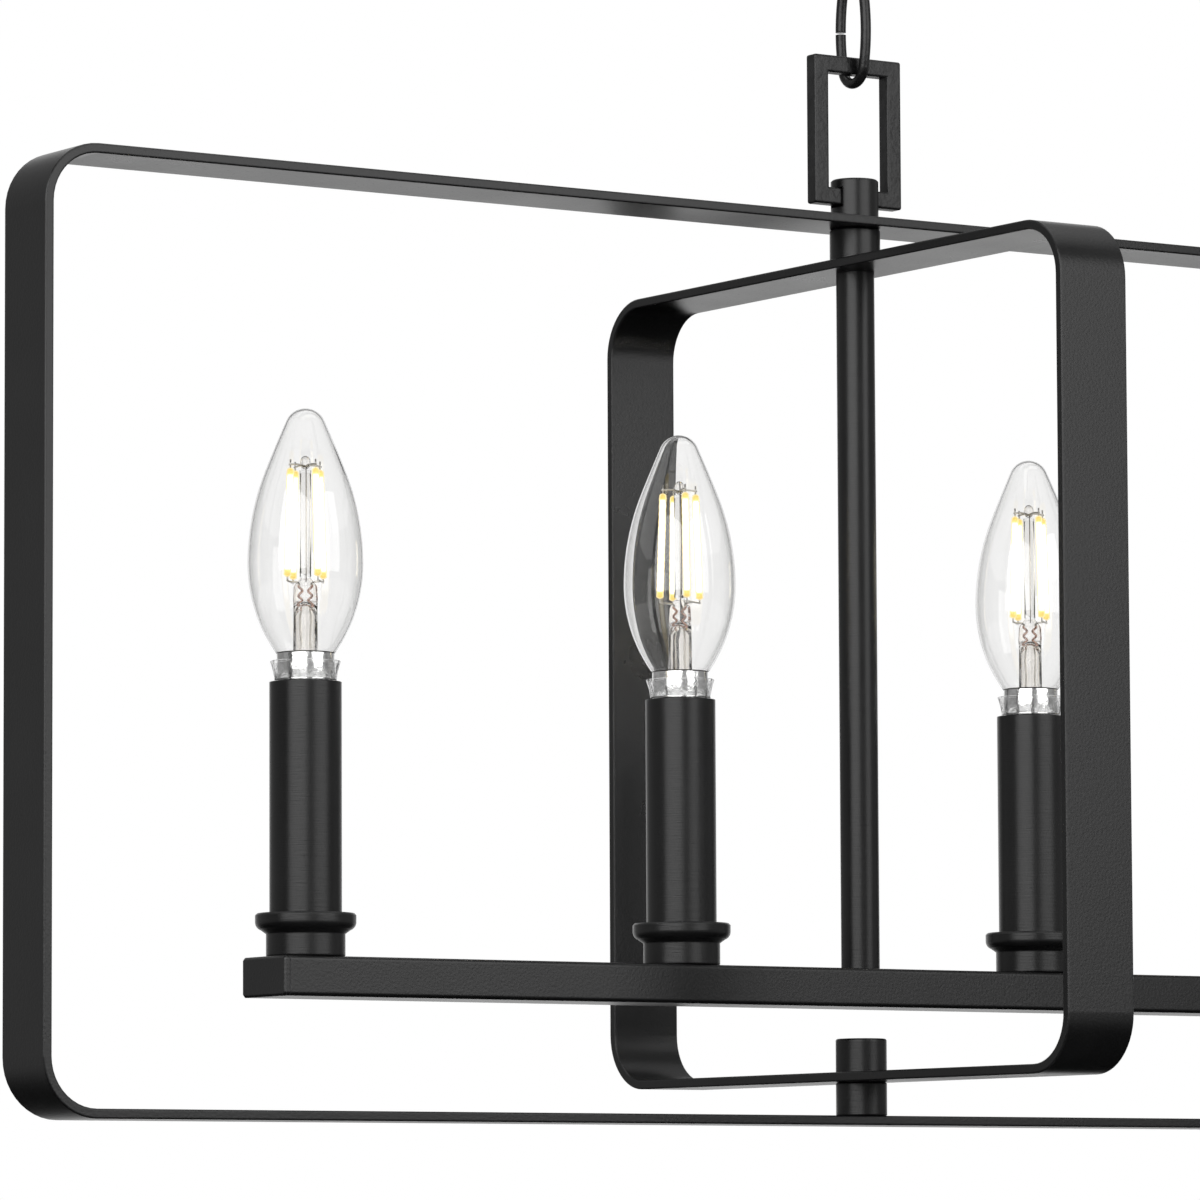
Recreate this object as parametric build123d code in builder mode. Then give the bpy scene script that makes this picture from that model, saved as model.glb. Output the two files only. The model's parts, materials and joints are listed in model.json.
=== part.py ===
"""Linear island pendant: two crossed frames of bent flat bar on a stem, four candle lights on a bar,
hung on a chain from a round ceiling canopy.  Millimetres, +Z up, origin on the ceiling plane."""

import os
from math import sqrt

from build123d import *

os.makedirs("parts", exist_ok=True)

# fits and clearances
thread_gap = 0.05         # radial, between a threaded rod and the hole that it screws into
hole_gap = 0.15           # radial, round a rod that passes through a plain hole
bulb_gap = 0.3            # radial, round a bulb's screw base in its socket shell
hang_gap = 0.3            # between two hanging pieces, wire to wire or wire to bar
slot_side_gap = 0.6       # beside the loop in its collar's slot
slot_under_gap = 0.7      # under the loop in its collar's slot

# ceiling end
crossbar_length = 110.0
crossbar_width = 22.0
crossbar_thick = 2.0
box_screw_spacing = 80.0
box_slot_length = 24.0
box_slot_width = 4.6
ground_screw_x = 22.0
ground_screw_r = 2.0
ground_head_r = 4.0
ground_head_high = 2.4
ground_shank_below = 0.4  # end of the shank under the crossbar's upper face

pipe_r = 5.0              # threaded pipe: nipples and tie rod
pipe_bore_r = 3.25
pipe_nut_across = 14.0
pipe_nut_high = 3.0

canopy_r = 63.5
canopy_depth = 25.0
canopy_wall = 1.0
canopy_corner_r = 7.0
canopy_rim = 0.9          # rolled lip inside the mouth

collar_r = 12.5           # male collar of the ceiling loop
collar_length = 17.0
collar_above_canopy = 9.0
collar_thread_depth = 10.0
ring_nut_r = 16.5
ring_nut_high = 6.0
ring_nut_grips = 12
grip_r = 1.1
bail_wire_r = 2.2
bail_bend_r = 8.0
bail_leg = 10.0

# chain
link_count = 4
link_wire_r = 1.7
link_half_width = 7.0     # to the middle of the wire
link_half_height = 17.3   # to the middle of the wire
link_end_r = 5.8
link_split = 0.75

# hanging loop and its collar
loop_width = 34.3
loop_height = 48.7
loop_bar_high = 5.5
loop_bar_deep = 5.2
loop_corner_r = 0.8
loop_edge_r = 0.75
loop_collar_r = 7.75
loop_collar_high = 13.2
loop_collar_roof = 2.8    # metal above the slot

# frames
flat_width = 25.4
flat_thick = 3.0
flat_edge = 0.35          # chamfer along the edges
bend_r = 18.5             # outside of each bend
long_frame_length = 614.0
cross_frame_length = 253.0
cross_frame_height = 265.0
spacer_r = 8.2
spacer_high = 11.0
spacer_edge = 0.5

# stem, bar and lower fastening
stem_r = 6.2
bar_length = 447.2
bar_width = 25.6
bar_high = 12.3
bar_wall = 1.2
bar_corner_r = 1.2
end_cap_thick = 2.0
end_cap_plug = 3.0
end_cap_gap = 0.1
end_cap_edge = 0.7
lower_cap_high = 10.9
lower_cap_edge_r = 0.7
bar_gap = 9.8             # clear space between the bar and the lower cap
screw_r = 2.5
screw_head_r = 4.8
screw_grip = 7.5          # depth of the screw in the lower cap
pipe_end_below_nut = 1.0

# candle lights
light_count = 4
light_pitch = 139.0
cup_high = 13.4
cup_flange_r = 15.5
cup_rim_edge = 0.6
cup_rim_high = 2.7        # down to the start of the rounded underside
cup_under_high = 2.4      # of the rounded underside
cup_under_reach = 1.7     # inwards over the rounded underside
cup_under_r = 2.6
cup_neck_z = 6.3          # from the top down to the drum
cup_drum_r = 12.15
cup_seat_depth = 2.0
sleeve_r = 11.1
sleeve_wall = 0.8
sleeve_show = 70.9        # above the cup
sleeve_seat_gap = 0.15

socket_r = 8.6
socket_top_drop = 4.5     # below the sleeve's mouth
socket_length = 30.0
socket_bore_depth = 16.5
shell_wall = 0.4
contact_length = 7.0      # flat centre contact on the bore's floor
contact_width = 3.0
bracket_thick = 1.0
bracket_width = 6.0
bracket_leg_x = 9.0
bracket_foot = 14.0       # side of the square foot
bracket_tab_start = 0.4   # from the axis, towards the leg

# bulbs
bulb_tip = 84.5           # above the sleeve's mouth
bulb_neck_z = 8.95
bulb_neck_r = 9.1
bulb_belly_z = 36.5
bulb_belly_r = 17.8
bulb_shoulder_z = 65.3
bulb_shoulder_r = 12.3
bulb_crown_z = 80.64
bulb_crown_r = 5.9
glass_wall = 0.7
glass_fit = 0.05
base_skirt_r = 8.9
base_skirt_wall = 0.6
base_skirt_top = 8.9
base_floor = 4.0
base_skirt_foot = -2.0
base_shell_top = -4.0
base_shell_r = 5.85
base_shell_foot = -14.5
base_contact_r = 2.2
base_contact_foot = -18.0
base_shell_cone = 2.5
ring_lip_r = 10.9
ring_lip_z = 6.4
ring_wall = 0.6
ring_foot = 0.4
mount_foot_r = 3.9
mount_press_z = 24.5
mount_press_r = 2.4
mount_rod_r = 0.9
mount_bead_z = 68.5
mount_bead_r = 1.5
filament_width = 1.6
filament_low_z = 33.0
filament_high_z = 65.0
filament_low_spread = 8.9
filament_high_spread = 7.6
spider_wire = 0.6
spider_hub = 3.4

# wiring inside the bar
cable_r = 1.2
cable_bend_r = 3.4
cable_floor_gap = 1.1
cable_lane = 1.4          # each cable's side of the bar's middle
cable_inset = 1.2         # from a light's axis, away from its bracket
block_length = 14.0
block_width = 16.0
block_high = 4.0

# levels, from the ceiling down
canopy_face = -canopy_depth
collar_top = canopy_face + collar_above_canopy
collar_foot = collar_top - collar_length
bail_wire_z = collar_foot - bail_leg - bail_bend_r
link_pitch = 2 * link_half_height - 2 * link_wire_r - hang_gap
first_link_z = bail_wire_z + bail_wire_r + link_wire_r + hang_gap - link_half_height
last_link_z = first_link_z - (link_count - 1) * link_pitch
last_wire_z = last_link_z - link_half_height

# the loop's bar rests in the round inside of the last link, on its two rounded lower edges
link_inside_r = link_end_r - link_wire_r
edge_centre_y = loop_bar_deep / 2 - loop_edge_r
edge_centre_drop = sqrt((link_inside_r - loop_edge_r - hang_gap) ** 2 - edge_centre_y**2)
loop_bar_under = last_wire_z + link_end_r - edge_centre_drop - loop_edge_r
loop_top = loop_bar_under + loop_bar_high
loop_foot = loop_top - loop_height
slot_roof = loop_foot + loop_bar_high + hang_gap
slot_floor = loop_foot - slot_under_gap
loop_collar_top = slot_roof + loop_collar_roof
long_frame_top = loop_collar_top - loop_collar_high

cross_frame_top = long_frame_top - flat_thick - spacer_high
cross_frame_foot = cross_frame_top - cross_frame_height
long_frame_foot = cross_frame_foot - spacer_high - flat_thick
long_frame_height = long_frame_top - long_frame_foot
stem_top = cross_frame_top - flat_thick
lower_cap_foot = cross_frame_foot + flat_thick
lower_cap_top = lower_cap_foot + lower_cap_high
bar_foot = lower_cap_top + bar_gap
bar_top = bar_foot + bar_high
stem_length = stem_top - bar_top
bar_ceiling = bar_top - bar_wall
bar_floor = bar_foot + bar_wall
pipe_end = bar_ceiling - pipe_nut_high - pipe_end_below_nut
cup_top = bar_top + cup_high
cup_seat = cup_top - cup_seat_depth
sleeve_top = cup_top + sleeve_show
socket_top = sleeve_top - socket_top_drop
socket_foot = socket_top - socket_length
socket_floor = socket_top - socket_bore_depth
cable_z = bar_floor + cable_floor_gap + cable_r

light_places = [(number - (light_count - 1) / 2) * light_pitch for number in range(light_count)]


def upright(x):
    """Upright plane through an axis at x: its first axis runs along X, its second along Z."""
    return Plane(origin=(x, 0, 0), x_dir=(1, 0, 0), z_dir=(0, -1, 0))


def axis_at(x):
    """The upright axis at x."""
    return Axis((x, 0, 0), (0, 0, 1))


def keep(piece, name):
    """Name a finished piece and write it."""
    piece.label = name
    export_step(piece, f"parts/{name}.step")


# crossbar
with BuildPart() as crossbar:
    with BuildSketch(Plane.XY.offset(-crossbar_thick)):
        RectangleRounded(crossbar_length, crossbar_width, crossbar_width / 4)
        with GridLocations(box_screw_spacing, 0, 2, 1):
            SlotOverall(box_slot_length, box_slot_width, mode=Mode.SUBTRACT)
        Circle(pipe_r + thread_gap, mode=Mode.SUBTRACT)
        with Locations((ground_screw_x, 0)):
            Circle(ground_screw_r + thread_gap, mode=Mode.SUBTRACT)
    extrude(amount=crossbar_thick)
keep(crossbar.part, "crossbar")

with BuildPart() as ground_screw:
    with BuildSketch(Plane.XY.offset(-crossbar_thick)):
        with Locations((ground_screw_x, 0)):
            Circle(ground_screw_r)
    extrude(amount=crossbar_thick - ground_shank_below)
    with BuildSketch(Plane.XY.offset(-crossbar_thick - ground_head_high)):
        with Locations((ground_screw_x, 0)):
            RegularPolygon(ground_head_r, 6)
    extrude(amount=ground_head_high)
keep(ground_screw.part, "ground_screw")

# threaded nipple and nut
with BuildPart() as ceiling_nipple:
    with BuildSketch(Plane.XY.offset(collar_top - collar_thread_depth)):
        Circle(pipe_r)
        Circle(pipe_bore_r, mode=Mode.SUBTRACT)
    extrude(amount=collar_thread_depth - collar_top)
keep(ceiling_nipple.part, "ceiling_nipple")

with BuildPart() as ceiling_nut:
    with BuildSketch(Plane.XY.offset(-crossbar_thick - pipe_nut_high)):
        RegularPolygon(pipe_nut_across / 2, 6, major_radius=False)
        Circle(pipe_r + thread_gap, mode=Mode.SUBTRACT)
    extrude(amount=pipe_nut_high)
keep(ceiling_nut.part, "ceiling_nut")

# canopy: spun pan with a rolled lip
with BuildPart() as canopy:
    with BuildSketch(Plane.XZ) as canopy_section:
        with BuildLine():
            mouth = Line((canopy_r, 0), (canopy_r, canopy_face + canopy_corner_r))
            corner_end = (canopy_r - canopy_corner_r, canopy_face)
            RadiusArc(mouth @ 1, corner_end, canopy_corner_r)
            face = Line(corner_end, (collar_r + hole_gap, canopy_face))
            inner = Line(face @ 1, (collar_r + hole_gap, canopy_face + canopy_wall))
            floor = Line(inner @ 1, (canopy_r - canopy_corner_r, canopy_face + canopy_wall))
            wall_foot = (canopy_r - canopy_wall, canopy_face + canopy_corner_r)
            RadiusArc(floor @ 1, wall_foot, -(canopy_corner_r - canopy_wall))
            wall = Line(wall_foot, (canopy_r - canopy_wall, -canopy_wall))
            lip = Line(wall @ 1, (canopy_r - canopy_wall - canopy_rim, -canopy_wall))
            lip_top = Line(lip @ 1, (canopy_r - canopy_wall - canopy_rim, 0))
            Line(lip_top @ 1, mouth @ 0)
        make_face()
    revolve(axis=Axis.Z)
keep(canopy.part, "canopy")

# ring nut under the canopy
with BuildPart() as ring_nut:
    with BuildSketch(Plane.XY.offset(canopy_face - ring_nut_high)):
        Circle(ring_nut_r)
        Circle(collar_r + thread_gap, mode=Mode.SUBTRACT)
        with PolarLocations(ring_nut_r, ring_nut_grips):
            Circle(grip_r, mode=Mode.SUBTRACT)
    extrude(amount=ring_nut_high)
keep(ring_nut.part, "ring_nut")

# ceiling loop: threaded collar and bail
with BuildPart() as ceiling_loop:
    with BuildSketch(Plane.XY.offset(collar_foot)):
        Circle(collar_r)
    extrude(amount=collar_length)
    with BuildLine(Plane.YZ) as bail_line:
        near_leg = Line((-bail_bend_r, collar_foot + bail_wire_r), (-bail_bend_r, collar_foot - bail_leg))
        bend = RadiusArc(near_leg @ 1, (bail_bend_r, collar_foot - bail_leg), -bail_bend_r)
        Line(bend @ 1, (bail_bend_r, collar_foot + bail_wire_r))
    with BuildSketch(Plane(origin=bail_line.wires()[0] @ 0, z_dir=bail_line.wires()[0] % 0)):
        Circle(bail_wire_r)
    sweep(path=bail_line.wires()[0])
    with BuildSketch(Plane.XY.offset(collar_top)):
        Circle(pipe_r + thread_gap)
    extrude(amount=-collar_thread_depth, mode=Mode.SUBTRACT)
    with BuildSketch(Plane.XY.offset(collar_top)):
        Circle(pipe_bore_r)
    extrude(amount=-collar_length, mode=Mode.SUBTRACT)
keep(ceiling_loop.part, "ceiling_loop")


# chain links
side_r = (link_half_width**2 + (link_half_height - link_end_r) ** 2 - link_end_r**2) / (
    2 * (link_half_width - link_end_r)
)


def chain_link(number):
    """An oval wire link of four arcs, split at the middle of one side."""
    middle = first_link_z - number * link_pitch
    flat = Plane.XZ if number % 2 == 0 else Plane(origin=(0, 0, 0), x_dir=(0, -1, 0), z_dir=(-1, 0, 0))
    side_centre = link_half_width - side_r
    end_centre = link_half_height - link_end_r
    reach = side_r - link_end_r
    join_x = -side_centre / reach * link_end_r
    join_z = end_centre + end_centre / reach * link_end_r
    half_split = link_split / 2
    split_x = side_centre + sqrt(side_r**2 - half_split**2)
    bow_x = side_centre + sqrt(side_r**2 - (join_z / 2) ** 2)
    top = middle + link_half_height
    foot = middle - link_half_height
    high = middle + join_z
    low = middle - join_z
    with BuildPart() as link:
        with BuildLine(flat) as ring:
            ThreePointArc((-split_x, middle + half_split), (-bow_x, middle + join_z / 2), (-join_x, high))
            ThreePointArc((-join_x, high), (0, top), (join_x, high))
            ThreePointArc((join_x, high), (link_half_width, middle), (join_x, low))
            ThreePointArc((join_x, low), (0, foot), (-join_x, low))
            ThreePointArc((-join_x, low), (-bow_x, middle - join_z / 2), (-split_x, middle - half_split))
        route = ring.wires()[0]
        with BuildSketch(Plane(origin=route @ 0, z_dir=route % 0)):
            Circle(link_wire_r)
        sweep(path=route)
    return link.part


for number in range(link_count):
    keep(chain_link(number), f"chain_link_{number + 1}")

# hanging loop
with BuildPart() as hanging_loop:
    with BuildSketch(Plane.XZ):
        with Locations((0, loop_top - loop_height / 2)):
            Rectangle(loop_width, loop_height)
            Rectangle(loop_width - 2 * loop_bar_high, loop_height - 2 * loop_bar_high, mode=Mode.SUBTRACT)
    extrude(amount=loop_bar_deep / 2, both=True)
    corners = hanging_loop.edges().filter_by(Axis.Y).sort_by_distance(hanging_loop.part.center())
    fillet(corners[4:], loop_corner_r)
    face_edges = hanging_loop.faces().filter_by(Axis.Y).edges()
    fillet(face_edges, loop_edge_r)
keep(hanging_loop.part, "hanging_loop")

# loop collar, slotted for the loop
with BuildPart() as loop_collar:
    with BuildSketch(Plane.XY.offset(long_frame_top)):
        Circle(loop_collar_r)
    extrude(amount=loop_collar_high)
    chamfer(loop_collar.faces().sort_by(Axis.Z)[-1].edges(), spacer_edge)
    with BuildSketch(Plane.XY.offset(long_frame_top)):
        Circle(pipe_r + thread_gap)
    extrude(amount=slot_floor - long_frame_top, mode=Mode.SUBTRACT)
    with BuildSketch(Plane.YZ):
        with Locations((0, (slot_roof + slot_floor) / 2)):
            Rectangle(loop_bar_deep + 2 * slot_side_gap, slot_roof - slot_floor)
    extrude(amount=loop_collar_r, both=True, mode=Mode.SUBTRACT)
keep(loop_collar.part, "loop_collar")

# the two frames of bent flat bar
def bent_frame(plane, length, top, foot):
    """A closed rectangle of flat bar on its wide side, round at its four bends."""
    height = top - foot
    with BuildPart() as frame:
        with BuildSketch(plane):
            with Locations((0, (top + foot) / 2)):
                RectangleRounded(length, height, bend_r)
                inner_length = length - 2 * flat_thick
                inner_height = height - 2 * flat_thick
                RectangleRounded(inner_length, inner_height, bend_r - flat_thick, mode=Mode.SUBTRACT)
        extrude(amount=flat_width / 2, both=True)
        chamfer(frame.faces().filter_by(Axis(plane.origin, plane.z_dir)).edges(), flat_edge)
        with BuildSketch(Plane.XY.offset(top)):
            Circle(pipe_r + hole_gap)
        extrude(amount=-flat_thick, mode=Mode.SUBTRACT)
        with BuildSketch(Plane.XY.offset(foot)):
            Circle(screw_r + hole_gap)
        extrude(amount=flat_thick, mode=Mode.SUBTRACT)
    return frame.part


with BuildPart() as long_frame:
    add(bent_frame(Plane.XZ, long_frame_length, long_frame_top, long_frame_foot))
    with BuildSketch(Plane.XZ):
        with BuildLine():
            Polyline(
                (0, long_frame_foot),
                (screw_head_r + hole_gap, long_frame_foot),
                (screw_r + hole_gap, long_frame_foot + screw_head_r - screw_r),
                (0, long_frame_foot + screw_head_r - screw_r),
                close=True,
            )
        make_face()
    revolve(axis=Axis.Z, mode=Mode.SUBTRACT)
keep(long_frame.part, "long_frame")

with BuildPart() as cross_frame:
    add(bent_frame(Plane.YZ, cross_frame_length, cross_frame_top, cross_frame_foot))
keep(cross_frame.part, "cross_frame")


def spacer(foot, bore_r):
    """A short turned tube between the two frames."""
    with BuildPart() as tube:
        with BuildSketch(Plane.XY.offset(foot)):
            Circle(spacer_r)
            Circle(bore_r, mode=Mode.SUBTRACT)
        extrude(amount=spacer_high)
        outside = [face.outer_wire().edges()[0] for face in tube.faces().filter_by(Axis.Z)]
        chamfer(outside, spacer_edge)
    return tube.part


keep(spacer(cross_frame_top, pipe_r + hole_gap), "upper_spacer")
keep(spacer(long_frame_foot + flat_thick, screw_r + hole_gap), "lower_spacer")

# stem, tie rod and nut
with BuildPart() as stem_tube:
    with BuildSketch(Plane.XY.offset(bar_top)):
        Circle(stem_r)
        Circle(pipe_r + hole_gap, mode=Mode.SUBTRACT)
    extrude(amount=stem_length)
keep(stem_tube.part, "stem_tube")

with BuildPart() as tie_rod:
    with BuildSketch(Plane.XY.offset(pipe_end)):
        Circle(pipe_r)
        Circle(pipe_bore_r, mode=Mode.SUBTRACT)
    extrude(amount=slot_floor - pipe_end)
keep(tie_rod.part, "tie_rod")

with BuildPart() as stem_nut:
    with BuildSketch(Plane.XY.offset(bar_ceiling - pipe_nut_high)):
        RegularPolygon(pipe_nut_across / 2, 6, major_radius=False)
        Circle(pipe_r + thread_gap, mode=Mode.SUBTRACT)
    extrude(amount=pipe_nut_high)
keep(stem_nut.part, "stem_nut")

# candle bar and its end caps
tube_half = bar_length / 2 - end_cap_thick
with BuildPart() as candle_bar:
    with BuildSketch(Plane.YZ):
        with Locations((0, bar_top - bar_high / 2)):
            RectangleRounded(bar_width, bar_high, bar_corner_r)
            Rectangle(bar_width - 2 * bar_wall, bar_high - 2 * bar_wall, mode=Mode.SUBTRACT)
    extrude(amount=tube_half, both=True)
    with BuildSketch(Plane.XY.offset(bar_top)):
        with Locations(*[(x, 0) for x in light_places], (0, 0)):
            Circle(pipe_r + hole_gap)
    extrude(amount=-bar_wall, mode=Mode.SUBTRACT)
keep(candle_bar.part, "candle_bar")

with BuildPart() as bar_end_caps:
    for side in (-1, 1):
        with BuildSketch(Plane.YZ.offset(side * tube_half)):
            with Locations((0, bar_top - bar_high / 2)):
                RectangleRounded(bar_width, bar_high, bar_corner_r)
        extrude(amount=side * end_cap_thick)
        with BuildSketch(Plane.YZ.offset(side * tube_half)):
            with Locations((0, bar_top - bar_high / 2)):
                Rectangle(
                    bar_width - 2 * bar_wall - 2 * end_cap_gap, bar_high - 2 * bar_wall - 2 * end_cap_gap
                )
        extrude(amount=-side * end_cap_plug)
    end_faces = bar_end_caps.faces().filter_by(Axis.X).sort_by(Axis.X)
    chamfer(end_faces[0].edges() + end_faces[-1].edges(), end_cap_edge)
keep(bar_end_caps.part, "bar_end_caps")

# lower cap and countersunk screw
with BuildPart() as lower_cap:
    with BuildSketch(Plane.XY.offset(lower_cap_foot)):
        Circle(spacer_r)
    extrude(amount=lower_cap_high)
    fillet(lower_cap.faces().sort_by(Axis.Z)[-1].edges(), lower_cap_edge_r)
    with BuildSketch(Plane.XY.offset(lower_cap_foot)):
        Circle(screw_r + thread_gap)
    extrude(amount=screw_grip + hole_gap, mode=Mode.SUBTRACT)
keep(lower_cap.part, "lower_cap")

with BuildPart() as lower_screw:
    with BuildSketch(Plane.XZ):
        with BuildLine():
            Polyline(
                (0, long_frame_foot),
                (screw_head_r, long_frame_foot),
                (screw_r, long_frame_foot + screw_head_r - screw_r),
                (screw_r, lower_cap_foot + screw_grip),
                (0, lower_cap_foot + screw_grip),
                close=True,
            )
        make_face()
    revolve(axis=Axis.Z)
keep(lower_screw.part, "lower_screw")


# candle cup: rim with a rounded underside, and drum
def candle_cup(x):
    """A turned cup: rim with a rounded underside, short drum, and a seat for the sleeve in its top."""
    rim_foot = cup_top - cup_rim_high
    neck = (cup_flange_r - cup_under_reach, rim_foot - cup_under_high)
    seat_r = sleeve_r + sleeve_seat_gap
    with BuildPart() as cup:
        with BuildSketch(upright(x)):
            with BuildLine():
                foot = Line((pipe_r + hole_gap, bar_top), (cup_drum_r - spacer_edge, bar_top))
                ease = Line(foot @ 1, (cup_drum_r, bar_top + spacer_edge))
                drum = Line(ease @ 1, (cup_drum_r, cup_top - cup_neck_z))
                flare = Line(drum @ 1, neck)
                under = RadiusArc(flare @ 1, (cup_flange_r, rim_foot), -cup_under_r)
                rim = Line(under @ 1, (cup_flange_r, cup_top - cup_rim_edge))
                edge = Line(rim @ 1, (cup_flange_r - cup_rim_edge, cup_top))
                top = Line(edge @ 1, (seat_r, cup_top))
                seat_wall = Line(top @ 1, (seat_r, cup_seat))
                seat = Line(seat_wall @ 1, (pipe_r + hole_gap, cup_seat))
                Line(seat @ 1, foot @ 0)
            make_face()
        revolve(axis=axis_at(x))
    return cup.part


def candle_sleeve(x):
    """The tube that stands in the cup and hides the socket."""
    with BuildPart() as sleeve:
        with BuildSketch(Plane.XY.offset(cup_seat)):
            with Locations((x, 0)):
                Circle(sleeve_r)
                Circle(sleeve_r - sleeve_wall, mode=Mode.SUBTRACT)
        extrude(amount=sleeve_top - cup_seat)
    return sleeve.part


def lamp_socket(x):
    """A moulded socket body, bored from above for the brass shell."""
    with BuildPart() as body:
        with BuildSketch(Plane.XY.offset(socket_foot)):
            with Locations((x, 0)):
                Circle(socket_r)
        extrude(amount=socket_length)
        with BuildSketch(Plane.XY.offset(socket_top)):
            with Locations((x, 0)):
                Circle(base_shell_r + bulb_gap + shell_wall + thread_gap)
        extrude(amount=-socket_bore_depth, mode=Mode.SUBTRACT)
    return body.part


for number, x in enumerate(light_places, start=1):
    keep(candle_cup(x), f"candle_cup_{number}")
    keep(candle_sleeve(x), f"candle_sleeve_{number}")
    keep(lamp_socket(x), f"lamp_socket_{number}")

# brass shells and centre contacts
shell_inside_r = base_shell_r + bulb_gap
contact_top = sleeve_top + base_contact_foot - bulb_gap / 3
with BuildPart() as socket_shells:
    with BuildSketch(Plane.XY.offset(socket_floor)):
        with Locations(*[(x, 0) for x in light_places]):
            Circle(shell_inside_r + shell_wall)
            Circle(shell_inside_r, mode=Mode.SUBTRACT)
    extrude(amount=socket_bore_depth - spacer_edge)
    with BuildSketch(Plane.XY.offset(socket_floor)):
        with Locations(*[(x, 0) for x in light_places]):
            Rectangle(contact_length, contact_width)
    extrude(amount=contact_top - socket_floor)
keep(socket_shells.part, "socket_shells")

# socket brackets: foot, leg and tab
foot_top = cup_seat + bracket_thick
tab_foot = socket_foot - bracket_thick
leg_face = bracket_leg_x + bracket_thick / 2
toe_length = leg_face - bracket_foot / 2
tab_length = leg_face - bracket_tab_start
with BuildPart() as socket_brackets:
    with BuildSketch(Plane.XY.offset(cup_seat)):
        with Locations(*[(x, 0) for x in light_places]):
            Rectangle(bracket_foot, bracket_foot)
        with Locations(*[(x + leg_face - toe_length / 2, 0) for x in light_places]):
            Rectangle(toe_length, bracket_width)
        with Locations(*[(x, 0) for x in light_places]):
            Circle(pipe_r + hole_gap, mode=Mode.SUBTRACT)
    extrude(amount=bracket_thick)
    with BuildSketch(Plane.XY.offset(cup_seat)):
        with Locations(*[(x + bracket_leg_x, 0) for x in light_places]):
            Rectangle(bracket_thick, bracket_width)
    extrude(amount=socket_foot - cup_seat)
    with BuildSketch(Plane.XY.offset(tab_foot)):
        with Locations(*[(x + leg_face - tab_length / 2, 0) for x in light_places]):
            Rectangle(tab_length, bracket_width)
    extrude(amount=bracket_thick)
keep(socket_brackets.part, "socket_brackets")

# candle nipples and their nuts
nipple_top = foot_top + pipe_nut_high + pipe_end_below_nut
with BuildPart() as candle_nipples:
    with BuildSketch(Plane.XY.offset(pipe_end)):
        with Locations(*[(x, 0) for x in light_places]):
            Circle(pipe_r)
            Circle(pipe_bore_r, mode=Mode.SUBTRACT)
    extrude(amount=nipple_top - pipe_end)
keep(candle_nipples.part, "candle_nipples")

with BuildPart() as candle_nuts:
    for level in (bar_ceiling - pipe_nut_high, foot_top):
        with BuildSketch(Plane.XY.offset(level)):
            with Locations(*[(x, 0) for x in light_places]):
                RegularPolygon(pipe_nut_across / 2, 6, major_radius=False)
                Circle(pipe_r + thread_gap, mode=Mode.SUBTRACT)
        extrude(amount=pipe_nut_high)
keep(candle_nuts.part, "candle_nuts")

# terminal block and lead cables
with BuildPart() as terminal_block:
    with BuildSketch(Plane.XY.offset(bar_floor)):
        RectangleRounded(block_length, block_width, 1.5)
    extrude(amount=block_high)
keep(terminal_block.part, "terminal_block")


def lead_cable(x):
    """A cable from the block along the bar's floor, then up through the nipple to the socket."""
    side = 1 if x > 0 else -1
    lane = cable_lane if abs(x) < light_pitch else -cable_lane
    rise = x - cable_inset
    with BuildPart() as cable:
        with BuildLine(Plane.XZ.offset(-lane)) as line:
            run = Line((side * block_length / 2, cable_z), (rise - side * cable_bend_r, cable_z))
            bend = RadiusArc(run @ 1, (rise, cable_z + cable_bend_r), -side * cable_bend_r)
            Line(bend @ 1, (rise, socket_foot))
        route = line.wires()[0]
        with BuildSketch(Plane(origin=route @ 0, z_dir=route % 0)):
            Circle(cable_r)
        sweep(path=route)
    return cable.part


with BuildPart() as lead_cables:
    for x in light_places:
        add(lead_cable(x))
keep(lead_cables.part, "lead_cables")


# bulbs
neck_r = base_skirt_r - base_skirt_wall - glass_fit


def inset(arc, place, turn):
    """The point at a place on an arc, moved through the glass to its inner face."""
    return arc @ place + (arc % place).rotate(Axis.Z, turn) * glass_wall


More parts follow.
